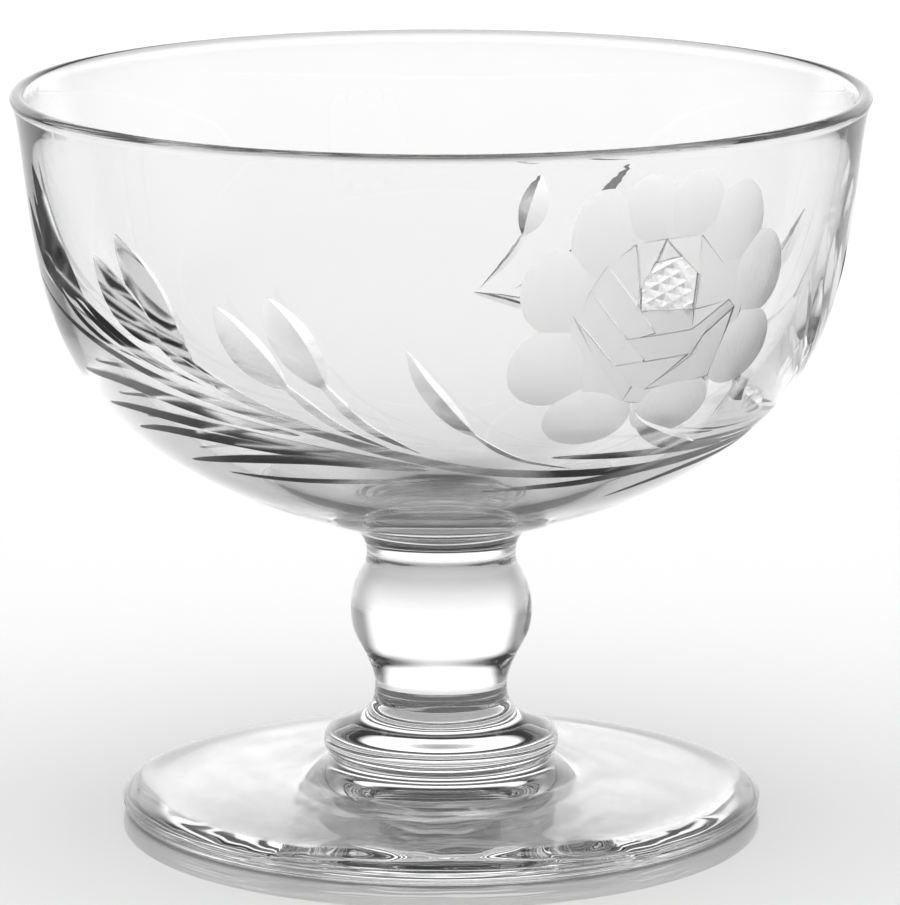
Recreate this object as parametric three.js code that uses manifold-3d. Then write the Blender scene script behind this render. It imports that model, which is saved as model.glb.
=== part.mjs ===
// A low cocktail glass in clear glass: a foot, a collar, a knopped stem and a deep round bowl, welded end to
// end, with a rose and a leaf spray cut into the outside of the bowl. Millimetres, +Z up. The origin is on the
// table, under the middle of the foot, and the middle of the spray's front is on the -Y side.
import * as THREE from "three";
import { mergeVertices } from "three/addons/utils/BufferGeometryUtils.js";
import Module from "manifold-3d";

// Foot: a disc that rises a little to a boss in its middle, with a full round edge and a wide hollow below.
const FOOT_RADIUS = 33.5;
const FOOT_THICKNESS = 2.8;
const FOOT_RISE = 1.2;
const FOOT_HOLLOW = 1.5;
const FOOT_HOLLOW_RADIUS = 30;
const BOSS_HEIGHT = 1.9;
const BOSS_SPREAD = 3.7;

// Collar: a ring between the foot and the stem.
const COLLAR_RADIUS = 12.3;
const COLLAR_HEIGHT = 5.7;
const COLLAR_UNDERCUT = 0.7;

// Stem: solid, with a waist above the collar, a knop, and a neck under the bowl.
const STEM_HEIGHT = 15.6;
const WAIST_RADIUS = 6.95;
const KNOP_RADIUS = 9.5;
const NECK_RADIUS = 7.8;

// Bowl: measured from the neck to the rim, with a wall that thickens towards the base.
const RIM_RADIUS = 44.45;
const BOWL_HEIGHT = 49;
const NECK_HEIGHT = 1.2;
const NECK_FLARE = 2.8;
const LIP_FLARE = 0.5;
const LIP_THICKNESS = 1.4;
const WALL = 1.55;
const BASE_THICKNESS = 3.7;
const WALL_TAPER = 0.12;
const OUTSIDE = { turn: 4.55, roundness: 1.2 };
const INSIDE = { turn: 4.28, roundness: 1.5 };

// Cuts: how deep a mitre goes for its half-width, the stem that the leaves grow from, and the rose. Angles are
// in degrees about the axis from the front, and levels are shares of the bowl's depth.
const MITRE_DEPTH = 0.45;
const SPRAY = { start: -84, middle: 34, end: 174, level: 0.278, leftRise: 0.358, rightRise: 0.073, halfWidth: 0.7 };
const UPPER_BEND = 0.2;
const LOWER_BEND = 0.8;
const UPPER_LEAVES = [
  { tip: -79, level: 0.79, sweep: 32, halfWidth: 1.4 },
  { tip: -73, level: 0.88, sweep: 37, halfWidth: 2 },
  { tip: -55, level: 0.725, sweep: 30, halfWidth: 2.1 },
  { tip: -49, level: 0.78, sweep: 33, halfWidth: 2.2 },
  { tip: -32, level: 0.66, sweep: 26, halfWidth: 2 },
  { tip: -24, level: 0.69, sweep: 22, halfWidth: 2.1 },
  { tip: -5, level: 0.59, sweep: 28, halfWidth: 1.3 },
  { tip: 30, level: 0.43, sweep: 41, halfWidth: 1.3 },
  { tip: 52, level: 0.44, sweep: 24, halfWidth: 1.4 },
  { tip: 67, level: 0.65, sweep: 17, halfWidth: 1.8 },
  { tip: 80, level: 0.68, sweep: 22, halfWidth: 1.9 },
  { tip: 102, level: 0.67, sweep: 23, halfWidth: 2 },
  { tip: 126, level: 0.67, sweep: 23, halfWidth: 2 },
  { tip: 149, level: 0.66, sweep: 18, halfWidth: 2 },
  { tip: 163, level: 0.63, sweep: 10, halfWidth: 1.8 },
];
const LOWER_LEAVES = [
  { tip: -69, level: 0.44, sweep: 47, halfWidth: 1.2 },
  { tip: -66, level: 0.37, sweep: 64, halfWidth: 1.2 },
  { tip: -52, level: 0.27, sweep: 50, halfWidth: 1.2 },
  { tip: 37, level: 0.2, sweep: 43, halfWidth: 1.2 },
  { tip: 92, level: 0.23, sweep: 44, halfWidth: 1.2 },
];
const ROSE = { angle: 31.5, level: 0.65, halfWidth: 12.3, halfHeight: 10.3 };
const PETALS = { count: 10, crowding: 0.25, along: 4.4, across: 3.5, depth: 0.6 };
const INNER_PETALS = { count: 5, share: 0.45, along: 4.8, across: 3.6, depth: 0.5 };

// Heights of the welds and of the bowl's own surfaces.
const FOOT_SHOULDER = FOOT_THICKNESS + FOOT_RISE;
const FOOT_TOP = FOOT_SHOULDER + BOSS_HEIGHT;
const COLLAR_TOP = FOOT_TOP + COLLAR_HEIGHT;
const STEM_TOP = COLLAR_TOP + STEM_HEIGHT;
const BOWL_BOTTOM = STEM_TOP + NECK_HEIGHT;
const RIM = STEM_TOP + BOWL_HEIGHT;
const LIP = RIM - LIP_THICKNESS / 2;
const BODY_RADIUS = RIM_RADIUS - LIP_FLARE;
const BOSS_RADIUS = COLLAR_RADIUS - COLLAR_UNDERCUT;

const wasm = await Module();
wasm.setup();

const glass = new THREE.MeshStandardMaterial({ color: 0xe9efef, roughness: 0.03, metalness: 0 });
const cocktailGlass = new THREE.Group();

const mix = THREE.MathUtils.lerp;
const radians = THREE.MathUtils.degToRad;
const point = (r, z) => new THREE.Vector2(r, z);

function addPiece(name, geometry) {
  const piece = new THREE.Mesh(geometry, glass.clone());
  piece.name = name;
  cocktailGlass.add(piece);
}

// A profile of radii and heights, turned about the axis.
function turned(profile, segments) {
  return new THREE.LatheGeometry(profile, segments).rotateX(Math.PI / 2);
}

// Points of half an ellipse about (r, z), from one angle on by half a turn.
function halfRound(r, z, halfWidth, halfHeight, from, steps) {
  return new THREE.EllipseCurve(r, z, halfWidth, halfHeight, from, from + Math.PI).getPoints(steps);
}

// Radius of a bowl surface at a height: a rounded bottom that turns up into a wall with a slight taper.
function bowlCurve(z, bottom, radius, { turn, roundness }) {
  const t = THREE.MathUtils.clamp((z - bottom) / (LIP - bottom), 0, 1);
  return radius * (1 - (1 - t) ** turn) ** (1 / roundness) * (1 - WALL_TAPER * (1 - t));
}

function lipFlare(z) {
  return LIP_FLARE * Math.exp(Math.min(0, z - LIP) / LIP_THICKNESS);
}

function outerRadius(z) {
  return bowlCurve(z, BOWL_BOTTOM, BODY_RADIUS, OUTSIDE) + lipFlare(z);
}

function innerRadius(z) {
  return bowlCurve(z, BOWL_BOTTOM + BASE_THICKNESS, BODY_RADIUS - WALL, INSIDE) + lipFlare(z);
}

// Height at which the outside of the bowl reaches a radius.
function outerHeight(radius) {
  let low = BOWL_BOTTOM;
  let high = LIP;
  for (let step = 0; step < 40; step++) {
    const middle = (low + high) / 2;
    if (outerRadius(middle) < radius) low = middle;
    else high = middle;
  }
  return low;
}

// Points up a bowl surface between two heights, closer together near the bottom, where it turns.
function surfacePoints(radiusAt, bottom, top, steps) {
  const points = [];
  for (let i = 0; i <= steps; i++) {
    const z = mix(bottom, top, (i / steps) ** 1.8);
    points.push(point(radiusAt(z), z));
  }
  return points;
}

function solidOf(geometry) {
  const bare = geometry.clone();
  bare.deleteAttribute("normal");
  bare.deleteAttribute("uv");
  const merged = mergeVertices(bare, 1e-4);
  const vertProperties = merged.attributes.position.array;
  const triVerts = new Uint32Array(merged.index.array);
  return new wasm.Manifold(new wasm.Mesh({ numProp: 3, vertProperties, triVerts }));
}

function geometryOf(solid) {
  const { vertProperties, triVerts } = solid.getMesh();
  const geometry = new THREE.BufferGeometry();
  geometry.setAttribute("position", new THREE.BufferAttribute(vertProperties, 3));
  geometry.setIndex(new THREE.BufferAttribute(triVerts, 1));
  geometry.computeVertexNormals();
  return geometry;
}

function foot() {
  const edge = FOOT_THICKNESS / 2;
  const bossFoot = point(BOSS_RADIUS + BOSS_SPREAD, FOOT_SHOULDER);
  const bossCorner = point(BOSS_RADIUS + 0.15 * BOSS_SPREAD, FOOT_SHOULDER + 0.15 * BOSS_HEIGHT);
  const boss = new THREE.QuadraticBezierCurve(bossFoot, bossCorner, point(BOSS_RADIUS, FOOT_TOP));
  const hollow = new THREE.QuadraticBezierCurve(
    point(0, FOOT_HOLLOW),
    point(0.35 * FOOT_HOLLOW_RADIUS, FOOT_HOLLOW),
    point(FOOT_HOLLOW_RADIUS, 0),
  );
  const profile = [
    ...hollow.getPoints(5),
    ...halfRound(FOOT_RADIUS - edge, edge, edge, edge, -Math.PI / 2, 8),
    ...boss.getPoints(5),
    point(0, FOOT_TOP),
  ];
  return turned(profile, 48);
}

function collar() {
  const at = (share, level) => point(mix(WAIST_RADIUS, COLLAR_RADIUS, share), mix(FOOT_TOP, COLLAR_TOP, level));
  const side = new THREE.SplineCurve([
    point(BOSS_RADIUS, FOOT_TOP),
    at(0.98, 0.13),
    at(1, 0.28),
    at(0.88, 0.46),
    at(0.43, 0.62),
    at(0.18, 0.78),
    at(0.03, 1),
  ]);
  const profile = [point(0, FOOT_TOP), ...side.getPoints(12), point(0, COLLAR_TOP)];
  return turned(profile, 36);
}

function stem() {
  const level = (share) => mix(COLLAR_TOP, STEM_TOP, share);
  const knop = (narrow, share, height) => point(mix(narrow, KNOP_RADIUS, share), level(height));
  const side = new THREE.SplineCurve([
    knop(WAIST_RADIUS, 0.05, 0),
    knop(WAIST_RADIUS, 0, 0.14),
    knop(WAIST_RADIUS, 0.34, 0.3),
    knop(WAIST_RADIUS, 0.86, 0.47),
    point(KNOP_RADIUS, level(0.62)),
    knop(NECK_RADIUS, 0.82, 0.765),
    knop(NECK_RADIUS, 0.46, 0.86),
    knop(NECK_RADIUS, 0.11, 0.93),
    point(NECK_RADIUS, STEM_TOP),
  ]);
  const profile = [point(0, COLLAR_TOP), ...side.getPoints(16), point(0, STEM_TOP)];
  return turned(profile, 36);
}

// The bowl before it is cut: neck, outside, round lip and inside.
function blank() {
  const joinHeight = outerHeight(NECK_RADIUS + NECK_FLARE);
  const join = point(outerRadius(joinHeight), joinHeight);
  const neckCorner = point(NECK_RADIUS, mix(STEM_TOP, joinHeight, 0.75));
  const neck = new THREE.QuadraticBezierCurve(point(NECK_RADIUS, STEM_TOP), neckCorner, join);
  const lipMiddle = (outerRadius(LIP) + innerRadius(LIP)) / 2;
  const lipHalf = outerRadius(LIP) - lipMiddle;
  const lip = halfRound(lipMiddle, LIP, lipHalf, RIM - LIP, 0, 6);
  const outside = surfacePoints(outerRadius, joinHeight, LIP, 14);
  const inside = surfacePoints(innerRadius, BOWL_BOTTOM + BASE_THICKNESS, LIP, 12).reverse();
  const profile = [
    point(0, STEM_TOP),
    ...neck.getPoints(4).slice(0, -1),
    ...outside.slice(0, -1),
    ...lip.slice(0, -1),
    ...inside,
  ];
  return turned(profile, 72);
}

// A place on the outside of the bowl, with the directions that run round it, up it and out of it.
function placeOn(angle, level) {
  const z = mix(BOWL_BOTTOM, RIM, level);
  const r = outerRadius(z);
  const slope = (outerRadius(z + 0.01) - outerRadius(z - 0.01)) / 0.02;
  const turn = radians(angle);
  const away = new THREE.Vector3(Math.sin(turn), -Math.cos(turn), 0);
  const round = new THREE.Vector3(Math.cos(turn), Math.sin(turn), 0);
  const up = away.clone().multiplyScalar(slope).setZ(1).normalize();
  const out = round.clone().cross(up).normalize();
  const at = away.clone().multiplyScalar(r).setZ(z);
  return { at, round, up, out, r };
}

// A mitre cut that follows a path of angles and levels: a V that is as wide as halfWidthAt says and runs out to
// nothing at both ends.
function mitre(pathAt, halfWidthAt, steps) {
  const clear = 0.4;
  const spread = clear / MITRE_DEPTH;
  const positions = [];
  const faces = [];
  for (let i = 0; i <= steps; i++) {
    const t = i / steps;
    const { at, out } = placeOn(...pathAt(t));
    const before = placeOn(...pathAt(Math.max(0, t - 0.01))).at;
    const after = placeOn(...pathAt(Math.min(1, t + 0.01))).at;
    const side = after.sub(before).cross(out).normalize();
    const half = halfWidthAt(t);
    const top = at.clone().addScaledVector(out, clear);
    if (i === 0 || i === steps) {
      positions.push(top);
      continue;
    }
    positions.push(top.clone().addScaledVector(side, half + spread));
    positions.push(top.clone().addScaledVector(side, -half - spread));
    positions.push(at.clone().addScaledVector(out, -half * MITRE_DEPTH));
  }
  const last = positions.length - 1;
  for (let k = 0; k < 3; k++) {
    const next = (k + 1) % 3;
    faces.push(0, 1 + k, 1 + next);
    faces.push(last, last - 3 + next, last - 3 + k);
    for (let i = 1; i + 5 < last; i += 3) {
      faces.push(i + k, i + 3 + k, i + next);
      faces.push(i + next, i + 3 + k, i + 3 + next);
    }
  }
  const geometry = new THREE.BufferGeometry().setFromPoints(positions);
  geometry.setIndex(faces);
  return solidOf(geometry);
}

// Level of the spray's stem, which is lowest under the rose and rises to both sides.
function stemLevel(angle) {
  const [end, rise] = angle < SPRAY.middle ? [SPRAY.start, SPRAY.leftRise] : [SPRAY.end, SPRAY.rightRise];
  return SPRAY.level + rise * ((angle - SPRAY.middle) / (end - SPRAY.middle)) ** 1.5;
}

function sprayStem() {
  const path = (t) => {
    const angle = mix(SPRAY.start, SPRAY.end, t);
    return [angle, stemLevel(angle)];
  };
  return mitre(path, (t) => SPRAY.halfWidth * Math.sin(Math.PI * t) ** 0.3, 32);
}

// A leaf: a broad blade near its tip, then a thin stalk that bends over into the spray's stem.
function leaf({ tip, level, sweep, halfWidth }, bend) {
  const root = tip + sweep;
  const rootLevel = stemLevel(root);
  const curve = new THREE.QuadraticBezierCurve(
    point(tip, level),
    point(tip + 0.28 * sweep, mix(rootLevel, level, bend)),
    point(root, rootLevel),
  );
  const path = (t) => curve.getPoint(t).toArray();
  const blade = (t) => Math.sin(Math.PI * Math.min(1, t / 0.5)) ** 0.8;
  const stalk = (t) => 0.45 * (1 - t ** 4);
  return mitre(path, (t) => halfWidth * Math.max(blade(t), stalk(t) * Math.min(1, 4 * t)), 12);
}

// A petal: a shallow oval dish, long along the rose's outline, ground where it is told on the rose.
function petal(turn, share, { along, across, depth }) {
  const centre = placeOn(ROSE.angle, ROSE.level);
  const aside = share * ROSE.halfWidth * Math.cos(turn);
  const above = share * ROSE.halfHeight * Math.sin(turn);
  const angle = ROSE.angle + THREE.MathUtils.radToDeg(aside / centre.r);
  const { at, round, up, out } = placeOn(angle, ROSE.level + above / (RIM - BOWL_BOTTOM));
  const outline = round.clone().multiplyScalar(-Math.sin(turn)).addScaledVector(up, Math.cos(turn));
  const inward = out.clone().cross(outline);
  const height = 3 * depth;
  const overlap = Math.sqrt(1 - (1 - depth / height) ** 2);
  const dish = new THREE.SphereGeometry(1, 20, 12);
  dish.scale(along / overlap, across / overlap, height);
  const centreOut = at.addScaledVector(out, height - depth);
  dish.applyMatrix4(new THREE.Matrix4().makeBasis(outline, inward, out).setPosition(centreOut));
  return solidOf(dish);
}

// The rose: an outer ring of petals, closer together at the top, and an inner ring.
function rose() {
  const petals = [];
  for (let i = 0; i < PETALS.count; i++) {
    const turn = (2 * Math.PI * i) / PETALS.count;
    petals.push(petal(turn + PETALS.crowding * Math.cos(turn), 1, PETALS));
  }
  for (let i = 0; i < INNER_PETALS.count; i++) {
    const turn = (2 * Math.PI * (i + 0.25)) / INNER_PETALS.count;
    petals.push(petal(turn, INNER_PETALS.share, INNER_PETALS));
  }
  return petals;
}

function bowl() {
  const cuts = [
    sprayStem(),
    ...UPPER_LEAVES.map((entry) => leaf(entry, UPPER_BEND)),
    ...LOWER_LEAVES.map((entry) => leaf(entry, LOWER_BEND)),
    ...rose(),
  ];
  return geometryOf(cuts.reduce((body, cut) => body.subtract(cut), solidOf(blank())));
}

addPiece("foot", foot());
addPiece("collar", collar());
addPiece("stem", stem());
addPiece("bowl", bowl());

export default cocktailGlass;
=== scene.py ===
import math

import bmesh
import bpy
import numpy as np
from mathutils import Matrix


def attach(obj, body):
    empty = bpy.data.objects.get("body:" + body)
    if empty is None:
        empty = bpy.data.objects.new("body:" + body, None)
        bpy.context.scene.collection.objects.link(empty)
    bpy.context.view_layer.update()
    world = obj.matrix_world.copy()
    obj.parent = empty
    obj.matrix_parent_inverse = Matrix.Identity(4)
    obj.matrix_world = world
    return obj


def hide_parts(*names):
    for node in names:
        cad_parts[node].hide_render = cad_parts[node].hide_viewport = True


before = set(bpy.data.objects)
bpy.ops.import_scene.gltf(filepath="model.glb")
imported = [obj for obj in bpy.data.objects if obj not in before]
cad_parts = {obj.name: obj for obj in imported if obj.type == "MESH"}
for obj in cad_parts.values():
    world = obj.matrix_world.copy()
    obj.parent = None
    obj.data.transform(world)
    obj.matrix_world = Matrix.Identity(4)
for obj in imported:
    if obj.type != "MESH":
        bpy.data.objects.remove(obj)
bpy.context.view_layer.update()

# Sizes of the glass in millimetres, as in the solids. The bowl's taper and curves are plain numbers.
# The origin is on the table under the foot.
MM = 0.001
FOOT_RADIUS = 33.5
FOOT_THICKNESS = 2.8
FOOT_SHOULDER = 4.0
FOOT_HOLLOW = 1.5
FOOT_HOLLOW_RADIUS = 30.0
BOSS_RADIUS = 11.6
BOSS_SPREAD = 3.7
COLLAR_RADIUS = 12.3
WAIST_RADIUS = 6.95
KNOP_RADIUS = 9.5
NECK_RADIUS = 7.8
NECK_FLARE = 2.8
RIM_RADIUS = 44.45
LIP_FLARE = 0.5
LIP_THICKNESS = 1.4
WALL = 1.55
WALL_TAPER = 0.12
OUTSIDE_CURVE = (4.55, 1.2)
INSIDE_CURVE = (4.28, 1.5)
BASE_THICKNESS = 3.7
FOOT_TOP = 5.9
COLLAR_TOP = 11.6
STEM_TOP = 27.2
BOWL_BOTTOM = 28.4
RIM = 76.2
LIP = RIM - LIP_THICKNESS / 2

# Forms that only the scene has: a rolled edge and ripples on the foot, a sway in the collar and stem, and
# an inside that narrows more. The roll and the taper are shares, and the rest is in millimetres.
FOOT_ROLL = 0.36
FOOT_BRIM = 2.5
FOOT_RIPPLE = 0.6
RIPPLE_START = (14.0, 18.0)
RIPPLE_END = (26.0, 32.0)
STEM_SWAY = 0.1
SWAY_START = 1.5
SWAY_END = 3.0
INSIDE_TAPER = 0.16

# A profile is swept along a circle of this radius, in this many steps.
SWEEP_RADIUS = 10
SWEEP_STEPS = 192


class Wire:
    """An output of a node. Arithmetic on it adds Math nodes to its tree."""

    def __init__(self, tree, socket):
        self.tree = tree
        self.socket = socket

    def __getitem__(self, name):
        return Wire(self.tree, self.socket.node.outputs[name])

    def math(self, operation, *values):
        return self.tree.node("ShaderNodeMath", {"operation": operation}, dict(enumerate(values)))

    def __add__(self, other):
        return self.math("ADD", self, other)

    def __sub__(self, other):
        return self.math("SUBTRACT", self, other)

    def __rsub__(self, other):
        return self.math("SUBTRACT", other, self)

    def __mul__(self, other):
        return self.math("MULTIPLY", self, other)

    def __truediv__(self, other):
        return self.math("DIVIDE", self, other)

    def __pow__(self, other):
        return self.math("POWER", self, other)

    def __gt__(self, other):
        return self.math("GREATER_THAN", self, other)

    def __neg__(self):
        return self.math("MULTIPLY", self, -1.0)

    __radd__ = __add__
    __rmul__ = __mul__


class Tree:
    """A node tree, whose nodes come from one method."""

    def __init__(self, tree):
        self.tree = tree

    def node(self, kind, settings=None, inputs=None):
        made = self.tree.nodes.new(kind)
        for name, value in (settings or {}).items():
            setattr(made, name, value)
        for key, value in (inputs or {}).items():
            socket = made.inputs[key]
            if isinstance(key, str):
                socket = next(s for s in made.inputs if s.enabled and key in (s.name, s.identifier))
            for item in value if isinstance(value, list) else [value]:
                if isinstance(item, Wire):
                    self.tree.links.new(item.socket, socket)
                else:
                    socket.default_value = item
        return Wire(self, made.outputs[0]) if made.outputs else made


def step(tree, value, start, end):
    """From nothing to one between two values."""
    limits = {"Value": value, "From Min": start, "From Max": end}
    return tree.node("ShaderNodeMapRange", {"interpolation_type": "SMOOTHSTEP"}, limits)


def geometry_tree(name, *inputs):
    """An empty geometry tree that takes a geometry and the named inputs, and the wire of each."""
    group = bpy.data.node_groups.new(name, "GeometryNodeTree")
    group.interface.new_socket("Geometry", in_out="INPUT", socket_type="NodeSocketGeometry")
    for label, kind in inputs:
        group.interface.new_socket(label, in_out="INPUT", socket_type="NodeSocket" + kind)
    group.interface.new_socket("Geometry", in_out="OUTPUT", socket_type="NodeSocketGeometry")
    tree = Tree(group)
    return tree, tree.node("NodeGroupInput")


def grow(name, mesh, tree, **values):
    """An object whose plain mesh is what a geometry tree makes of a mesh."""
    made = bpy.data.objects.new(name, mesh)
    bpy.context.scene.collection.objects.link(made)
    modifier = made.modifiers.new(name, "NODES")
    modifier.node_group = tree.tree
    for socket in tree.tree.interface.items_tree:
        if socket.in_out == "INPUT" and socket.name.replace(" ", "_").lower() in values:
            modifier[socket.identifier] = values[socket.name.replace(" ", "_").lower()]
    result = bpy.data.meshes.new_from_object(made.evaluated_get(bpy.context.evaluated_depsgraph_get()))
    made.modifiers.clear()
    made.data = result
    if result.materials[0] is None:
        result.materials.pop(index=0)
    return made


def smooth(points, count):
    """Evenly spaced points along a smooth curve through the given ones."""
    given = np.array(points, float)
    ends = np.vstack([2 * given[0] - given[1], given, 2 * given[-1] - given[-2]])
    t = np.linspace(0, len(given) - 1, 60 * len(given))
    span = np.minimum(t.astype(int), len(given) - 2)
    f = (t - span)[:, None]
    a, b, c, d = (ends[span + k] for k in range(4))
    fine = 0.5 * (2 * b + (c - a) * f + (2 * a - 5 * b + 4 * c - d) * f**2 + (3 * b - 3 * c + d - a) * f**3)
    run = np.concatenate([[0], np.cumsum(np.linalg.norm(np.diff(fine, axis=0), axis=1))])
    at = np.linspace(0, run[-1], count)
    return np.column_stack([np.interp(at, run, column) for column in fine.T])


def bend(start, corner, end, count):
    """Points of a quadratic curve."""
    t = np.linspace(0, 1, count)[:, None]
    return np.array(start) * (1 - t) ** 2 + 2 * np.array(corner) * t * (1 - t) + np.array(end) * t**2


def arc(r, z, half_width, half_height, start, end, count):
    """Points of an ellipse between two angles."""
    turn = np.linspace(start, end, count)
    return np.column_stack([r + half_width * np.cos(turn), z + half_height * np.sin(turn)])


# Shapes of the turned pieces.
def bowl_curve(z, bottom, radius, turn, roundness, taper):
    t = np.clip((z - bottom) / (LIP - bottom), 0, 1)
    return radius * (1 - (1 - t) ** turn) ** (1 / roundness) * (1 - taper * (1 - t))


def lip_flare(z):
    return LIP_FLARE * np.exp(np.minimum(0, z - LIP) / LIP_THICKNESS)


def outer_radius(z):
    return bowl_curve(z, BOWL_BOTTOM, RIM_RADIUS - LIP_FLARE, *OUTSIDE_CURVE, WALL_TAPER) + lip_flare(z)


def inner_radius(z):
    inside = RIM_RADIUS - LIP_FLARE - WALL
    bottom = BOWL_BOTTOM + BASE_THICKNESS
    return bowl_curve(z, bottom, inside, *INSIDE_CURVE, INSIDE_TAPER) + lip_flare(z)


def foot_profile():
    edge = FOOT_THICKNESS / 2
    brim = np.array([FOOT_RADIUS, FOOT_BRIM])
    root = np.array([BOSS_RADIUS + BOSS_SPREAD, FOOT_SHOULDER])
    roll = bend((FOOT_RADIUS, edge), brim, brim + FOOT_ROLL * (root - brim), 40)
    corner = (BOSS_RADIUS + 0.15 * BOSS_SPREAD, FOOT_SHOULDER + 0.15 * (FOOT_TOP - FOOT_SHOULDER))
    return [
        bend((0, FOOT_HOLLOW), (0.35 * FOOT_HOLLOW_RADIUS, FOOT_HOLLOW), (FOOT_HOLLOW_RADIUS, 0), 48),
        arc(FOOT_RADIUS - edge, edge, edge, edge, -math.pi / 2, 0, 16)[:-1],
        roll[:-1],
        bend(roll[-1], (roll[-1] + root) / 2, root, 60)[:-1],
        bend(root, corner, (BOSS_RADIUS, FOOT_TOP), 24),
        [(0, FOOT_TOP)],
    ]


def collar_profile():
    shares = [(0.98, 0.13), (1, 0.28), (0.88, 0.46), (0.43, 0.62), (0.18, 0.78), (0.03, 1)]
    side = [
        (WAIST_RADIUS + share * (COLLAR_RADIUS - WAIST_RADIUS), FOOT_TOP + level * (COLLAR_TOP - FOOT_TOP))
        for share, level in shares
    ]
    return [[(0, FOOT_TOP)], smooth([(BOSS_RADIUS, FOOT_TOP), *side], 60), [(0, COLLAR_TOP)]]


def stem_profile():
    lower = [(0.05, 0), (0, 0.14), (0.34, 0.3), (0.86, 0.47), (1, 0.62)]
    upper = [(0.82, 0.765), (0.46, 0.86), (0.11, 0.93), (0, 1)]
    side = [
        (narrow + share * (KNOP_RADIUS - narrow), COLLAR_TOP + level * (STEM_TOP - COLLAR_TOP))
        for narrow, part in ((WAIST_RADIUS, lower), (NECK_RADIUS, upper))
        for share, level in part
    ]
    return [[(0, COLLAR_TOP)], smooth(side, 90), [(0, STEM_TOP)]]


def bowl_profile():
    heights = np.linspace(BOWL_BOTTOM, LIP, 4000)
    join = float(np.interp(NECK_RADIUS + NECK_FLARE, outer_radius(heights), heights))
    corner = (NECK_RADIUS, STEM_TOP + 0.75 * (join - STEM_TOP))
    outside = smooth(np.column_stack([outer_radius(heights), heights])[heights >= join][::-20][::-1], 110)
    low = BOWL_BOTTOM + BASE_THICKNESS
    levels = low + (LIP - low) * np.linspace(0, 1, 400) ** 2.4
    inside = smooth(np.column_stack([inner_radius(levels), levels]), 100)
    middle = (outside[-1, 0] + inside[-1, 0]) / 2
    return [
        [(0, STEM_TOP)],
        bend((NECK_RADIUS, STEM_TOP), corner, (float(outer_radius(np.array(join))), join), 12)[:-1],
        outside[:-1],
        arc(middle, LIP, outside[-1, 0] - middle, RIM - LIP, 0, math.pi, 15)[:-1],
        inside[::-1],
    ]


def profile_mesh(name, sections, welds):
    """A chain of points to turn, with the ends of its flat weld faces marked."""
    points = np.vstack(sections)[::-1]
    mesh = bpy.data.meshes.new(name)
    chain = [(i, i + 1) for i in range(len(points) - 1)]
    mesh.from_pydata([((r - SWEEP_RADIUS) * MM, -z * MM, 0) for r, z in points], chain, [])
    weld = mesh.attributes.new("weld", "FLOAT", "POINT")
    flat = np.zeros(len(points))
    for level in welds:
        flat[np.abs(points[:, 1] - level) < 1e-6] = 1
    weld.data.foreach_set("value", flat)
    return mesh


def turning_tree():
    """Turns a profile about the axis, makes it uneven, and marks the faces where pieces are welded."""
    sizes = [("Segments", "Int"), ("Ripple", "Float"), ("Sway", "Float")]
    tree, given = geometry_tree("Turned glass", *sizes, ("Glass", "Material"), ("Weld", "Material"))
    profile = tree.node("GeometryNodeMeshToCurve", None, {"Mesh": given["Geometry"]})
    circle = {"Resolution": given["Segments"], "Radius": SWEEP_RADIUS * MM}
    round_axis = tree.node("GeometryNodeCurvePrimitiveCircle", None, circle)
    turned = tree.node("GeometryNodeCurveToMesh", None, {"Curve": round_axis, "Profile Curve": profile})
    closed = tree.node("GeometryNodeMergeByDistance", None, {"Geometry": turned, "Distance": 1e-6})
    place = tree.node("GeometryNodeInputPosition")
    axes = tree.node("ShaderNodeSeparateXYZ", None, {"Vector": place})
    outward = (axes["X"] * axes["X"] + axes["Y"] * axes["Y"]) ** 0.5 / MM
    height = axes["Z"] / MM
    long = tree.node("ShaderNodeCombineXYZ", None, {"X": axes["X"], "Y": axes["Y"] * 0.4})
    slow = tree.node("ShaderNodeTexNoise", None, {"Vector": long, "Scale": 45.0, "Detail": 3.0}) * 2 - 1
    quick = tree.node("ShaderNodeTexNoise", None, {"Vector": place, "Scale": 140.0, "Detail": 1.0}) * 2 - 1
    brim = step(tree, outward, *RIPPLE_START) * (1 - step(tree, outward, *RIPPLE_END))
    rise = slow * given["Ripple"] * brim * axes["Z"] / FOOT_SHOULDER
    between = step(tree, height, FOOT_TOP, FOOT_TOP + SWAY_START)
    between = between * (1 - step(tree, height, STEM_TOP - SWAY_END, STEM_TOP))
    aside = quick * given["Sway"] * between / (outward + 0.01)
    moved = {"X": axes["X"] * aside, "Y": axes["Y"] * aside, "Z": rise}
    waved = tree.node("ShaderNodeCombineXYZ", None, moved)
    uneven = tree.node("GeometryNodeSetPosition", None, {"Geometry": closed, "Offset": waved})
    plain = tree.node("GeometryNodeRealizeInstances", None, {"Geometry": uneven})
    glass = tree.node("GeometryNodeSetMaterial", None, {"Geometry": plain, "Material": given["Glass"]})
    flat = tree.node("GeometryNodeInputNamedAttribute", {"data_type": "FLOAT"}, {"Name": "weld"}) > 0.99
    welded = {"Geometry": glass, "Selection": flat, "Material": given["Weld"]}
    tree.node("NodeGroupOutput", None, {"Geometry": tree.node("GeometryNodeSetMaterial", None, welded)})
    return tree


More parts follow.
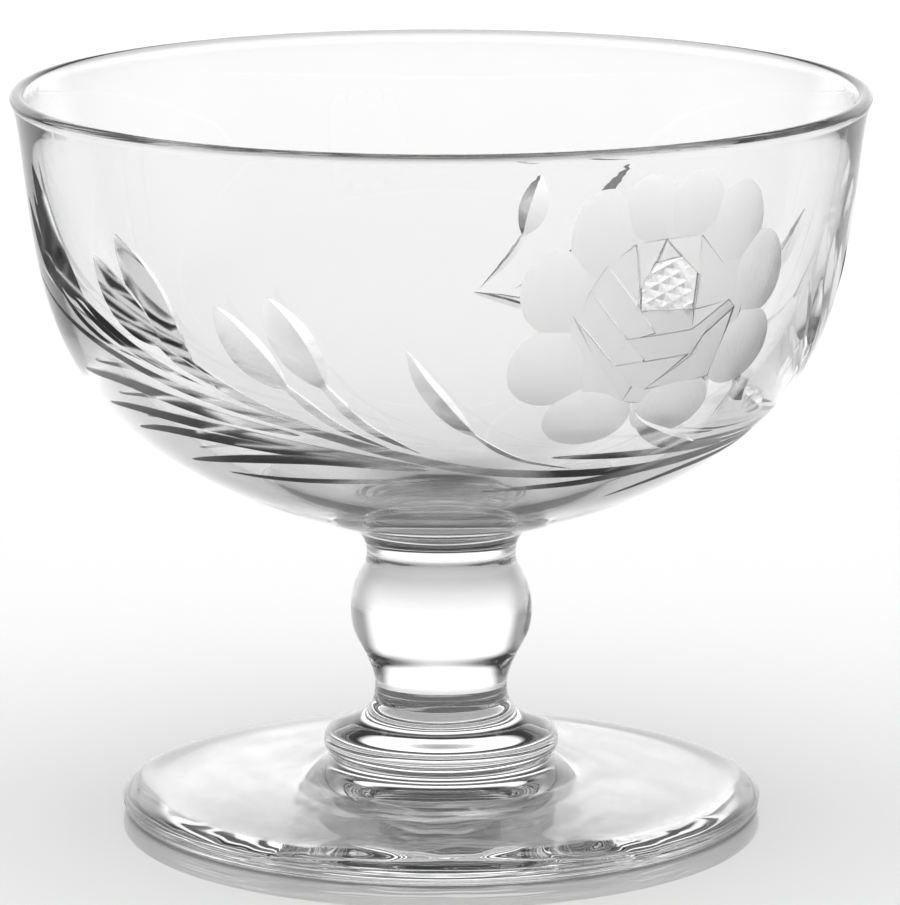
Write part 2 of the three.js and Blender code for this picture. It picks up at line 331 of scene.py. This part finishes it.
def glass_material(name, roughness, unevenness, marks, depth, stretch):
    """Clear glass with clouded patches and fine marks, given by number a metre, depth and stretch."""
    material = bpy.data.materials.new(name)
    material.use_nodes = True
    material.node_tree.nodes.clear()
    tree = Tree(material.node_tree)
    place = tree.node("ShaderNodeTexCoord")["Object"]
    patches = tree.node("ShaderNodeTexNoise", None, {"Vector": place, "Scale": 45.0, "Detail": 3.0})
    drawn = tree.node("ShaderNodeMapping", None, {"Vector": place, "Scale": (1.0, 1.0, stretch)})
    lines = tree.node("ShaderNodeTexNoise", None, {"Vector": drawn, "Scale": marks, "Detail": 2.0})
    clouded = tree.node("ShaderNodeMath", {"operation": "MAXIMUM"}, {0: patches - 0.6, 1: 0.0})
    finish = {
        "Base Color": (1, 1, 1, 1),
        "Roughness": clouded * unevenness + roughness,
        "Normal": tree.node("ShaderNodeBump", None, {"Strength": 1.0, "Distance": depth, "Height": lines}),
        "Transmission Weight": 1.0,
        "IOR": 1.52,
    }
    shader = tree.node("ShaderNodeBsdfPrincipled", None, finish)
    tree.node("ShaderNodeOutputMaterial", None, {"Surface": shader})
    return material


def weld_material():
    """Nothing shows where two pieces are fused."""
    material = bpy.data.materials.new("weld")
    material.use_nodes = True
    material.node_tree.nodes["Principled BSDF"].inputs["Alpha"].default_value = 0.0
    return material


# Cuts on the outside of the bowl, in degrees about the axis from the front and millimetres of height.
# A mitre's depth, lift and lean are shares of its half-width. A leaf or stroke has a half-width and a path,
# a petal has a place, a lean and two half axes, and a corner of the rose's flats has a place and a depth.
MITRE_DEPTH = 0.5
MITRE_LEAN = 0.35
LIFT = 0.5
LINE_DEPTH = 1.0
LINE_LIFT = 1.0
HATCH_DEPTH = 0.27
BLADE = 0.44
PATH_STEPS = 72
LEAVES = [
    (1.5, [(-79, 66.3), (-75, 62.3), (-70, 59.4), (-63.5, 56.2), (-56.5, 54.1), (-47.5, 52.7)]),
    (1.5, [(-74.5, 67.2), (-71, 63), (-65.5, 59), (-58, 56), (-50, 53.6), (-42, 51.8)]),
    (2.3, [(-73, 70.5), (-70, 66), (-65.5, 61.3), (-58, 57.1), (-47, 53.5), (-36, 51)]),
    (2.5, [
        (-54.8, 63), (-51, 59.5), (-47.3, 57.2), (-43.9, 55.4), (-39.8, 53.4), (-31.7, 50.9), (-25, 49),
    ]),
    (2.7, [(-49.3, 65.8), (-44.2, 60.4), (-40.2, 55.4), (-35.5, 52.4), (-27.9, 49.7), (-16, 46.9)]),
    (2.3, [(-32.3, 59.9), (-27.7, 55.4), (-21.3, 51.2), (-15.1, 47.8), (-7, 45.3)]),
    (2.5, [(-24.1, 61.3), (-20.6, 56.7), (-16.3, 52), (-11, 48), (-3, 45)]),
    (1.2, [(-4.8, 56.5), (-1.6, 52.3), (3.9, 47.9), (11.9, 44.4), (23, 42.5)]),
    (1.3, [(29.7, 48.9), (31.8, 47.4), (35.2, 46), (41, 44.5), (48.7, 43.6), (58.4, 43.1), (70.9, 43.1)]),
    (1.4, [(51.9, 49.5), (56, 47.5), (64.4, 45.7), (75, 44.6)]),
    (1.8, [(66.7, 59.5), (67, 57), (69, 54), (75, 49.5), (84, 46)]),
    (1.9, [(80, 61), (82, 57.5), (86, 53.5), (93, 49), (102, 45.5)]),
    (2.0, [(102, 60.5), (104.5, 56.5), (109, 52), (116, 48), (125, 45.2)]),
    (2.0, [(126, 60.5), (128.5, 56.5), (133, 52), (140, 48), (149, 45.2)]),
    (2.0, [(149, 60), (151.5, 56.5), (155, 52), (160, 48.3), (167, 45.6)]),
    (1.8, [(164, 58.5), (165.5, 53.5), (168, 49.6), (173, 45.6)]),
]
SPRAY_STEM = [
    (-84, 58.8), (-70, 55.6), (-54, 52.7), (-39, 50.1), (-20.6, 47.4), (-6, 44.7),
    (10, 42.6), (34, 41.7), (60, 42.2), (110, 43), (150, 44), (174, 45.2),
]
STROKES = [
    (0.8, [(-69, 49.5), (-57, 49.9), (-48, 49.3), (-36, 47.9), (-22, 46.6)]),
    (0.8, [(-66.5, 46.2), (-54, 46.8), (-36, 46.3), (-18.5, 44.9), (-2, 43.4)]),
    (0.8, [(-61, 44.1), (-50, 45), (-36, 45), (-19, 44.2), (-6, 43.4)]),
    (0.8, [(-51.6, 41.3), (-34, 43), (-19, 43.7), (-2, 43)]),
    (0.8, [(36.8, 37.8), (44, 39.1), (52.7, 40.3), (64.7, 41.1), (80, 42)]),
    (0.8, [(92, 39.5), (104, 40.3), (118, 41.2), (136, 43)]),
    (0.7, [(7.2, 40.1), (16.6, 40.4), (26.3, 40.6), (36.3, 41.2), (47.9, 41.6), (62, 42)]),
    (0.6, [(17.9, 44.2), (28.9, 43.8), (41.8, 43.4), (56.9, 42.8)]),
    (0.5, [(-42.8, 40.6), (-28.2, 40.8), (-12, 41.4), (0.1, 42)]),
    (0.5, [(160, 43.3), (166, 44.1), (174, 45.2)]),
]
SPRAY_STEM_WIDTH = 0.75
ROSE = (31.5, 59.5)
ROSE_FIELD = (14, 9.8, 0.1)
PETAL_SPREAD = 1.06
PETAL_DEPTH = 0.3
PETALS = [
    (15.9, 61.8, 80, 4.3, 3.9),
    (15.2, 54.1, 70, 4.5, 4.0),
    (22.0, 48.7, 4, 5.0, 3.9),
    (36.0, 49.1, 16, 5.3, 4.1),
    (46.6, 54.3, 48, 5.2, 3.7),
    (48.0, 62.0, 88, 4.3, 3.6),
    (43.0, 67.3, 112, 4.3, 3.6),
    (35.2, 69.6, 95, 3.8, 3.5),
    (28.7, 69.5, 75, 3.7, 3.4),
    (21.9, 67.2, 50, 4.2, 3.9),
]
CENTRE_DEPTH = 0.5
HATCH_LEANS = (0.38, -0.9)
HATCH_SPACING = 1.3
CENTRE = [(27.8, 61.7), (29.7, 64.3), (33.8, 64.7), (36.8, 62.8), (36.7, 59.1), (28.1, 59.5)]
SHINGLES = [
    [
        (17.2, 60.3, 0.12), (18.6, 59, 0.3), (28.3, 51.6, 0.3),
        (27.2, 50.2, 0.12), (20.4, 51.7, 0.1), (19.6, 55.3, 0.1),
    ],
    [(18.6, 59, 0.1), (20.3, 62.1, 0.34), (26.3, 56.7, 0.34), (29.5, 54.4, 0.34), (28.3, 51.6, 0.1)],
    [(20.3, 62.1, 0.1), (22.5, 64.4, 0.36), (30.7, 57.1, 0.36), (26.6, 56.6, 0.1)],
    [(22.5, 64.4, 0.1), (26.5, 66.4, 0.36), (27.8, 59.8, 0.36), (28.1, 59.2, 0.12)],
    [(26.6, 66.4, 0.12), (31.2, 66.7, 0.36), (27.8, 61.7, 0.36), (27.8, 59.8, 0.12)],
    [(28.1, 59.5, 0.36), (36.7, 59.1, 0.36), (36.8, 57, 0.1), (26.6, 56.6, 0.1)],
    [(26.3, 56.7, 0.34), (36.8, 57, 0.34), (37, 54.4, 0.1), (25, 54, 0.1)],
    [(36.8, 57, 0.34), (43, 59.6, 0.34), (44.2, 58.7, 0.1), (39.2, 56.3, 0.1), (37, 54.4, 0.1)],
    [(25, 54, 0.34), (37, 54.4, 0.34), (30.6, 51.2, 0.1), (28.3, 51.6, 0.1)],
    [(30.6, 51.2, 0.2), (37.3, 54.1, 0.34), (39.2, 56.3, 0.34), (44.2, 58.7, 0.34), (41.6, 51.8, 0.1)],
    [(31.2, 66.7, 0.36), (36.8, 66.7, 0.1), (37.1, 62.6, 0.36)],
    [(36.8, 66.7, 0.3), (42, 62.7, 0.1), (42.7, 59.6, 0.1), (36.9, 59.1, 0.36), (37.1, 62.6, 0.36)],
]
LINE_WIDTH = 0.11
LINE_SUNK = 0.26
ROSE_LINES = [
    [(22.5, 64.4), (30.7, 57.1)],
    [(26.6, 66.3), (27.8, 59.8)],
    [(20.2, 62), (26.3, 56.7)],
    [(18.6, 59), (24.9, 54)],
    [(31.2, 66.6), (36.8, 62.8)],
    [(30.9, 66.3), (27.8, 61.7)],
    [(29.7, 64.3), (33.8, 64.7)],
]


def on_bowl(angle, z, sunk=0.0):
    """Places on the outside of the bowl, and the ways out of it."""
    turn = np.radians(angle)
    slope = (outer_radius(z + 0.01) - outer_radius(z - 0.01)) / 0.02
    out = np.column_stack([np.sin(turn), -np.cos(turn), -slope])
    out /= np.linalg.norm(out, axis=1)[:, None]
    r = outer_radius(z)
    return np.column_stack([r * np.sin(turn), -r * np.cos(turn), z]) - np.reshape(sunk, (-1, 1)) * out, out


def paths_mesh(name, paths):
    """Chains of points on the bowl, with how wide a cut is there and the way out of the bowl."""
    mesh = bpy.data.meshes.new(name)
    places, ways, widths, chain = [], [], [], []
    for angles_heights, half_widths, sunk in paths:
        at, out = on_bowl(angles_heights[:, 0], angles_heights[:, 1], sunk)
        chain += [(len(places) + i, len(places) + i + 1) for i in range(len(at) - 1)]
        places += (at * MM).tolist()
        ways += out.tolist()
        widths += (np.asarray(half_widths) * MM).tolist()
    mesh.from_pydata(places, chain, [])
    mesh.attributes.new("outward", "FLOAT_VECTOR", "POINT").data.foreach_set("vector", np.ravel(ways))
    mesh.attributes.new("half_width", "FLOAT", "POINT").data.foreach_set("value", widths)
    return mesh


def leaf_path(half_width, points):
    """A broad blade near the tip, then a thin stalk."""
    path = smooth(points, PATH_STEPS)
    t = np.linspace(0, 1, PATH_STEPS)
    blade = np.sin(np.pi * np.minimum(1, t / BLADE)) ** 0.75
    stalk = 0.34 * np.clip((t - 0.3) / 0.25, 0, 1) * (1 - t**3)
    return path, half_width * np.maximum(blade, stalk), 0.0


def stroke_path(half_width, points, count=64):
    """A mitre that runs out to nothing at both ends."""
    t = np.linspace(0, 1, count)
    return smooth(points, count), half_width * np.sin(np.pi * t) ** 0.5, 0.0


def mitre_tree():
    """Sweeps a V along each path. The V is as wide as the path says and points into the bowl."""
    sizes = [("Depth", "Float"), ("Lift", "Float"), ("Lean", "Float")]
    tree, given = geometry_tree("Mitre cuts", *sizes, ("Finish", "Material"))
    paths = tree.node("GeometryNodeMeshToCurve", None, {"Mesh": given["Geometry"]})
    out = tree.node("GeometryNodeInputNamedAttribute", {"data_type": "FLOAT_VECTOR"}, {"Name": "outward"})
    facing = tree.node("GeometryNodeSetCurveNormal", {"mode": "FREE"}, {"Curve": paths, "Normal": out})
    tall = given["Depth"] * (1 + given["Lift"]) / 1.5
    broad = (1 + given["Lift"]) / math.sqrt(0.75)
    size = tree.node("ShaderNodeCombineXYZ", None, {"X": -tall, "Y": -broad, "Z": 1.0})
    place = tree.node("ShaderNodeCombineXYZ", None, {"X": tall - given["Depth"]})
    corner = tree.node("GeometryNodeCurvePrimitiveCircle", None, {"Resolution": 3, "Radius": 1.0})
    placed = {"Geometry": corner, "Translation": place, "Scale": size}
    notch = tree.node("GeometryNodeTransform", None, placed)
    deep = tree.node("ShaderNodeSeparateXYZ", None, {"Vector": tree.node("GeometryNodeInputPosition")})["X"]
    aside = tree.node("ShaderNodeCombineXYZ", None, {"Y": deep * given["Lean"]})
    leaned = tree.node("GeometryNodeSetPosition", None, {"Geometry": notch, "Offset": aside})
    width = tree.node("GeometryNodeInputNamedAttribute", {"data_type": "FLOAT"}, {"Name": "half_width"})
    swept = {"Curve": facing, "Profile Curve": leaned, "Scale": width, "Fill Caps": True}
    cutter = tree.node("GeometryNodeCurveToMesh", None, swept)
    closed = tree.node("GeometryNodeMergeByDistance", None, {"Geometry": cutter, "Distance": 2e-6})
    plain = tree.node("GeometryNodeRealizeInstances", None, {"Geometry": closed})
    finished = tree.node("GeometryNodeSetMaterial", None, {"Geometry": plain, "Material": given["Finish"]})
    tree.node("NodeGroupOutput", None, {"Geometry": finished})
    return tree


def dishes_mesh(name, dishes):
    """Points for shallow oval dishes: the middle of each, its directions and its half axes."""
    mesh = bpy.data.meshes.new(name)
    places, outs, longs, sizes = [], [], [], []
    for angle, z, lean, along, across, depth in dishes:
        at, out = on_bowl(np.array([angle]), np.array([z]))
        near, _ = on_bowl(np.array([angle, angle]), np.array([z - 2.0, z + 2.0]))
        upright = -2 * np.dot(near.mean(0) - at[0], out[0]) / 2.0**2
        level = 1 / float(outer_radius(np.array(z)))
        height = 3 * depth
        axes = []
        for half, turn in ((along, lean), (across, lean + math.pi / 2)):
            bowed = level * math.cos(turn) ** 2 + upright * math.sin(turn) ** 2
            axes.append(math.sqrt(height / max(2 * depth / half**2 - bowed, 0.004)))
        flat = np.array([math.cos(math.radians(angle)), math.sin(math.radians(angle)), 0])
        up = np.cross(out[0], flat)
        places.append((at[0] + out[0] * (height - depth)) * MM)
        outs.append(out[0])
        longs.append(math.cos(lean) * flat + math.sin(lean) * up)
        sizes.append(np.array([*axes, height]) * MM)
    mesh.from_pydata([tuple(p) for p in places], [], [])
    for label, values in (("outward", outs), ("along", longs), ("half_axes", sizes)):
        mesh.attributes.new(label, "FLOAT_VECTOR", "POINT").data.foreach_set("vector", np.ravel(values))
    return mesh


def dish_tree():
    """Sets a ball, squeezed to its half axes, on each point."""
    tree, given = geometry_tree("Petal dishes", ("Finish", "Material"))
    read = {
        label: tree.node("GeometryNodeInputNamedAttribute", {"data_type": "FLOAT_VECTOR"}, {"Name": label})
        for label in ("outward", "along", "half_axes")
    }
    turn = {"Primary Axis": read["outward"], "Secondary Axis": read["along"]}
    rotation = tree.node("FunctionNodeAxesToRotation", {"primary_axis": "Z", "secondary_axis": "X"}, turn)
    ball = tree.node("GeometryNodeMeshUVSphere", None, {"Segments": 72, "Rings": 48, "Radius": 1.0})
    set_out = {"Points": given["Geometry"], "Instance": ball}
    set_out |= {"Rotation": rotation, "Scale": read["half_axes"]}
    dishes = tree.node("GeometryNodeInstanceOnPoints", None, set_out)
    plain = tree.node("GeometryNodeRealizeInstances", None, {"Geometry": dishes})
    finished = tree.node("GeometryNodeSetMaterial", None, {"Geometry": plain, "Material": given["Finish"]})
    tree.node("NodeGroupOutput", None, {"Geometry": finished})
    return tree


def patches_object(name, outlines, finish):
    """Blocks that follow the bowl inside outlines, from a depth in the wall to clear of it."""
    shape = bmesh.new()
    for outline in outlines:
        outline = np.array(outline)
        middle = outline.mean(0)
        rings = [middle + (outline - middle) * share for share in np.linspace(0, 1, 17)[1:]]
        covers = []
        for sunk in (1.0, -1.0):
            grid = np.vstack([*rings, [middle]])
            places, _ = on_bowl(grid[:, 0], grid[:, 1], grid[:, 2] if sunk > 0 else sunk)
            covers.append([shape.verts.new(place * MM) for place in places])
        around = len(outline)
        for i in range(around):
            j = (i + 1) % around
            for cover in covers:
                shape.faces.new((cover[-1], cover[i], cover[j]))
                for k in range(0, len(cover) - 1 - around, around):
                    places = (k + i, k + around + i, k + around + j, k + j)
                    shape.faces.new([cover[place] for place in places])
            low, high = (cover[-1 - around:-1] for cover in covers)
            shape.faces.new((low[i], low[j], high[j], high[i]))
    bmesh.ops.recalc_face_normals(shape, faces=shape.faces)
    mesh = bpy.data.meshes.new(name)
    shape.to_mesh(mesh)
    mesh.materials.append(finish)
    made = bpy.data.objects.new(name, mesh)
    bpy.context.scene.collection.objects.link(made)
    return made


def drawn_out(corners, steps):
    """A closed outline with each side divided."""
    corners = np.array(corners, float)
    ahead = np.roll(corners, -1, axis=0)
    share = np.linspace(0, 1, steps, endpoint=False)[:, None]
    drawn = np.vstack([a + (b - a) * share for a, b in zip(corners, ahead)])
    middle = drawn.mean(0) * (1, 1, 0)
    return middle + (drawn - middle) * (1.01, 1.01, 1)


def hatch_paths(corners, lean, spacing, sunk):
    """Mitres across an outline, side by side at a lean."""
    across = math.radians(float(outer_radius(np.array(ROSE[1]))))
    flat = (np.array(corners) - ROSE) * (across, 1)
    ahead = np.roll(flat, -1, axis=0)
    way = np.array([math.cos(lean), math.sin(lean)])
    aside = np.array([-way[1], way[0]])
    paths = []
    span = flat @ aside / spacing
    for level in np.arange(math.ceil(span.min()), span.max()) * spacing:
        meets = []
        for a, b in zip(flat, ahead):
            da, db = a @ aside - level, b @ aside - level
            if da * db < 0:
                meets.append((a + (b - a) * da / (da - db)) @ way)
        if len(meets) == 2 and max(meets) - min(meets) > 0.8:
            along = np.linspace(min(meets) - 0.1, max(meets) + 0.1, 14)
            places = along[:, None] * way + level * aside
            width = 0.55 * np.minimum(1, np.linspace(0, 5, 14)) * np.minimum(1, np.linspace(5, 0, 14))
            paths.append((places / (across, 1) + ROSE, width, sunk))
    return paths


def cutting_tree():
    """Takes every separate cutter out of the bowl."""
    cutters = ("Spray", "Petals", "Field", "Lines", "Centre", "Hatch")
    tree, given = geometry_tree("Cut bowl", *[(label, "Object") for label in cutters], ("Weld", "Material"))
    apart = []
    for label in cutters:
        shape = tree.node("GeometryNodeObjectInfo", None, {"Object": given[label]})["Geometry"]
        island = tree.node("GeometryNodeInputMeshIsland")
        split = {"Geometry": shape, "Group ID": island}
        apart.append(tree.node("GeometryNodeSplitToInstances", {"domain": "FACE"}, split))
    cut = {"Mesh 1": given["Geometry"], "Mesh 2": apart}
    made = tree.node("GeometryNodeMeshBoolean", {"operation": "DIFFERENCE", "solver": "MANIFOLD"}, cut)
    plain = tree.node("GeometryNodeRealizeInstances", None, {"Geometry": made})
    flat = tree.node("GeometryNodeInputNamedAttribute", {"data_type": "FLOAT"}, {"Name": "weld"}) > 0.99
    welded = {"Geometry": plain, "Selection": flat, "Material": given["Weld"]}
    tree.node("NodeGroupOutput", None, {"Geometry": tree.node("GeometryNodeSetMaterial", None, welded)})
    return tree


# Turns in degrees past which an edge of a finish stays sharp.
SHARP = {"ground_glass": 5.0, "satin_glass": 5.0, "cut_glass": 14.0}
SHARP_ELSEWHERE = 35.0


def finish_bowl(piece):
    """Keeps the one body, marks the edges of the cuts, and gives the wall the normals of its curve."""
    shape = bmesh.new()
    shape.from_mesh(piece.data)
    unseen = set(shape.verts)
    bodies = []
    while unseen:
        stack, body = [unseen.pop()], set()
        while stack:
            vert = stack.pop()
            body.add(vert)
            for link in vert.link_edges:
                other = link.other_vert(vert)
                if other in unseen:
                    unseen.remove(other)
                    stack.append(other)
        bodies.append(body)
    bodies.sort(key=len)
    for body in bodies[:-1]:
        bmesh.ops.delete(shape, geom=list(body), context="VERTS")
    shape.to_mesh(piece.data)
    mesh = piece.data
    for label in ("weld", "half_width", "half_axes", "outward", "along"):
        if label in mesh.attributes:
            mesh.attributes.remove(mesh.attributes[label])
    loops, faces = len(mesh.loops), len(mesh.polygons)
    edge_of = np.zeros(loops, np.int32)
    mesh.loops.foreach_get("edge_index", edge_of)
    vert_of = np.zeros(loops, np.int32)
    mesh.loops.foreach_get("vertex_index", vert_of)
    totals = np.zeros(faces, np.int32)
    mesh.polygons.foreach_get("loop_total", totals)
    face_of = np.repeat(np.arange(faces), totals)
    finish = np.zeros(faces, np.int32)
    mesh.polygons.foreach_get("material_index", finish)
    normals = np.zeros(faces * 3)
    mesh.polygons.foreach_get("normal", normals)
    normals = normals.reshape(-1, 3)
    order = np.argsort(edge_of, kind="stable")
    first = np.searchsorted(edge_of[order], np.arange(len(mesh.edges)))
    pairs = np.column_stack([face_of[order][first], face_of[order][np.minimum(first + 1, loops - 1)]])
    names = [m.name if m else "" for m in mesh.materials]
    turn = np.degrees(np.arccos(np.clip((normals[pairs[:, 0]] * normals[pairs[:, 1]]).sum(1), -1, 1)))
    limit = np.array([SHARP.get(name, SHARP_ELSEWHERE) for name in names])
    flags = (finish[pairs[:, 0]] != finish[pairs[:, 1]]) | (turn > limit[finish[pairs[:, 0]]])
    mesh.shade_smooth()
    if "sharp_edge" not in mesh.attributes:
        mesh.attributes.new("sharp_edge", "BOOLEAN", "EDGE")
    mesh.attributes["sharp_edge"].data.foreach_set("value", flags)
    mesh.update()
    corners = np.zeros(loops * 3)
    mesh.corner_normals.foreach_get("vector", corners)
    corners = corners.reshape(-1, 3)
    places = np.zeros(len(mesh.vertices) * 3)
    mesh.vertices.foreach_get("co", places)
    at = places.reshape(-1, 3)[vert_of] / MM
    r = np.hypot(at[:, 0], at[:, 1])
    wall = (finish[face_of] == names.index("polished_glass")) & (np.abs(r - outer_radius(at[:, 2])) < 0.05)
    wall &= (r > NECK_RADIUS + NECK_FLARE) & (at[:, 2] < LIP - 0.3)
    _, out = on_bowl(np.degrees(np.arctan2(at[:, 0], -at[:, 1])), at[:, 2])
    corners[wall] = out[wall]
    mesh.normals_split_custom_set(corners.tolist())


polished_glass = glass_material("polished_glass", 0.0, 0.3, 110.0, 4e-6, 4.0)
cut_glass = glass_material("cut_glass", 0.17, 0.3, 700.0, 2e-6, 0.3)
ground_glass = glass_material("ground_glass", 0.44, 0.4, 2600.0, 2.5e-5, 0.3)
satin_glass = glass_material("satin_glass", 0.48, 0.4, 2600.0, 2e-5, 0.3)
weld = weld_material()
turning = turning_tree()
pieces = {
    "foot": (foot_profile(), [FOOT_TOP]),
    "collar": (collar_profile(), [FOOT_TOP, COLLAR_TOP]),
    "stem": (stem_profile(), [COLLAR_TOP, STEM_TOP]),
    "bowl": (bowl_profile(), [STEM_TOP]),
}
made = {}
for node, (sections, welds) in pieces.items():
    blank = profile_mesh(node, sections, welds)
    moves = {"ripple": FOOT_RIPPLE * (node == "foot"), "sway": STEM_SWAY * (node in ("collar", "stem"))}
    finishes = {"glass": polished_glass, "weld": weld}
    made[node] = grow(node + "_glass", blank, turning, segments=SWEEP_STEPS, **moves, **finishes)
    made[node].data.shade_smooth()
    made[node].data.set_sharp_from_angle(angle=math.radians(40))

mitre = mitre_tree()
spray = [leaf_path(*leaf) for leaf in LEAVES] + [stroke_path(*stroke) for stroke in STROKES]
spray.append(stroke_path(SPRAY_STEM_WIDTH, SPRAY_STEM, 200))
turn = np.linspace(0, 2 * math.pi, 96, endpoint=False)
wide, tall, sunk = ROSE_FIELD
field = np.column_stack([ROSE[0] + wide * np.cos(turn), ROSE[1] + tall * np.sin(turn), np.full(96, sunk)])
shingles = [field, *(drawn_out(corners, 6) for corners in SHINGLES)]
pocket = [drawn_out([(*corner, CENTRE_DEPTH) for corner in CENTRE], 6)]
petals = [
    (angle, z, math.radians(lean), PETAL_SPREAD * along, PETAL_SPREAD * across, PETAL_DEPTH)
    for angle, z, lean, along, across in PETALS
]
line_width = LINE_WIDTH * np.sin(np.linspace(0, np.pi, 16)) ** 0.3
lines = [(smooth(line, 16), line_width, LINE_SUNK) for line in ROSE_LINES]
hatch = [path for lean in HATCH_LEANS for path in hatch_paths(CENTRE, lean, HATCH_SPACING, CENTRE_DEPTH)]
leaning = {"depth": MITRE_DEPTH, "lift": LIFT, "lean": MITRE_LEAN}
upright = {"depth": LINE_DEPTH, "lift": LINE_LIFT, "lean": 0.0}
shallow = {"depth": HATCH_DEPTH, "lift": LIFT, "lean": 0.0}
cutters = {
    "spray": grow("spray", paths_mesh("spray", spray), mitre, **leaning, finish=cut_glass),
    "petals": grow("petals", dishes_mesh("petals", petals), dish_tree(), finish=ground_glass),
    "field": patches_object("field", shingles, satin_glass),
    "lines": grow("lines", paths_mesh("lines", lines), mitre, **upright, finish=cut_glass),
    "centre": patches_object("centre", pocket, cut_glass),
    "hatch": grow("hatch", paths_mesh("hatch", hatch), mitre, **shallow, finish=cut_glass),
}
uncut = made["bowl"].data
bpy.data.objects.remove(made["bowl"])
made["bowl"] = grow("bowl_glass", uncut, cutting_tree(), weld=weld, **cutters)
for cutter in cutters.values():
    bpy.data.objects.remove(cutter)
finish_bowl(made["bowl"])
for node, piece in made.items():
    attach(piece, "root")
    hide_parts(node)


# Studio, in metres: a glossy pale table in a round room, brightest behind the glass, with soft lamps above.
# BACK, SIDES, FRONT and OVERHEAD are strengths of light. The fades are cosines of the angle from the back
# or the front, and the wall goes dark between two shares of the room's radius.
ROOM = 3.0
BACK = 1.35
SIDES = 0.32
FRONT = 0.08
OVERHEAD = 0.04
BACK_FADE = (0.62, 0.85)
FRONT_FADE = (0.1, 0.6)
WALL_LOW = 0.27
WALL_HIGH = 0.52
LAMP = 30.0
FILL = 24.0
LAMP_SIZE = 2.4
LAMP_HEIGHT = 1.6
TABLE = 4
TABLE_TOP = -5e-5
CAMERA_PLACE = (0, -0.65231, 0.17297)
CAMERA_PITCH = 0.2043
CAMERA_LENS = 254.16
CAMERA_SHIFT = 0.0098
DIM = 0.012


def staged(name, mesh, material):
    """A part of the studio, not of the glass."""
    mesh.materials.append(material)
    made = bpy.data.objects.new(name, mesh)
    bpy.context.scene.collection.objects.link(made)


def room_material():
    """Soft light from the walls, less from the sides and front, and little from overhead."""
    material = bpy.data.materials.new("room")
    material.use_nodes = True
    material.node_tree.nodes.clear()
    tree = Tree(material.node_tree)
    way = tree.node("ShaderNodeSeparateXYZ", None, {"Vector": tree.node("ShaderNodeTexCoord")["Object"]})
    behind = way["Y"] / (way["X"] * way["X"] + way["Y"] * way["Y"]) ** 0.5
    wall = SIDES + step(tree, behind, *BACK_FADE) * (BACK - SIDES)
    wall = wall + step(tree, -behind, *FRONT_FADE) * (FRONT - SIDES)
    low = 1 - step(tree, way["Z"] / ROOM, WALL_LOW, WALL_HIGH)
    glow = tree.node("ShaderNodeEmission", None, {"Strength": OVERHEAD + low * wall})
    tree.node("ShaderNodeOutputMaterial", None, {"Surface": glow})
    return material


def table_material():
    material = bpy.data.materials.new("table")
    material.use_nodes = True
    shader = material.node_tree.nodes["Principled BSDF"].inputs
    shader["Base Color"].default_value = (0.85, 0.85, 0.85, 1)
    shader["Roughness"].default_value = 0.02
    return material


ball = bmesh.new()
bmesh.ops.create_uvsphere(ball, u_segments=96, v_segments=48, radius=ROOM)
room = bpy.data.meshes.new("room")
ball.to_mesh(room)
staged("room", room, room_material())
top = bpy.data.meshes.new("table")
corners = [(x * TABLE, y * TABLE, TABLE_TOP) for x, y in ((-1, -1), (1, -1), (1, 1), (-1, 1))]
top.from_pydata(corners, [], [range(4)])
staged("table", top, table_material())
for name, power, shadow in (("lamp", LAMP, True), ("fill", FILL, False)):
    lamp = bpy.data.objects.new(name, bpy.data.lights.new(name, "AREA"))
    lamp.data.size = LAMP_SIZE
    lamp.data.energy = power
    lamp.data.use_shadow = shadow
    lamp.location = (0, 0, LAMP_HEIGHT)
    lamp.visible_glossy = False
    lamp.visible_transmission = False
    bpy.context.scene.collection.objects.link(lamp)
camera = bpy.data.objects.new("camera", bpy.data.cameras.new("camera"))
camera.location = CAMERA_PLACE
camera.rotation_euler = (math.pi / 2 - CAMERA_PITCH, 0, 0)
camera.data.lens = CAMERA_LENS
camera.data.shift_x = CAMERA_SHIFT
bpy.context.scene.collection.objects.link(camera)
bpy.context.scene.camera = camera
world = bpy.data.worlds.new("world")
world.use_nodes = True
world.node_tree.nodes["Background"].inputs["Color"].default_value = (DIM, DIM, DIM, 1)
bpy.context.scene.world = world
bpy.context.scene.view_settings.view_transform = "Standard"
tracing = bpy.context.scene.cycles
tracing.max_bounces = 40
tracing.transmission_bounces = 40
tracing.glossy_bounces = 24
tracing.transparent_max_bounces = 40
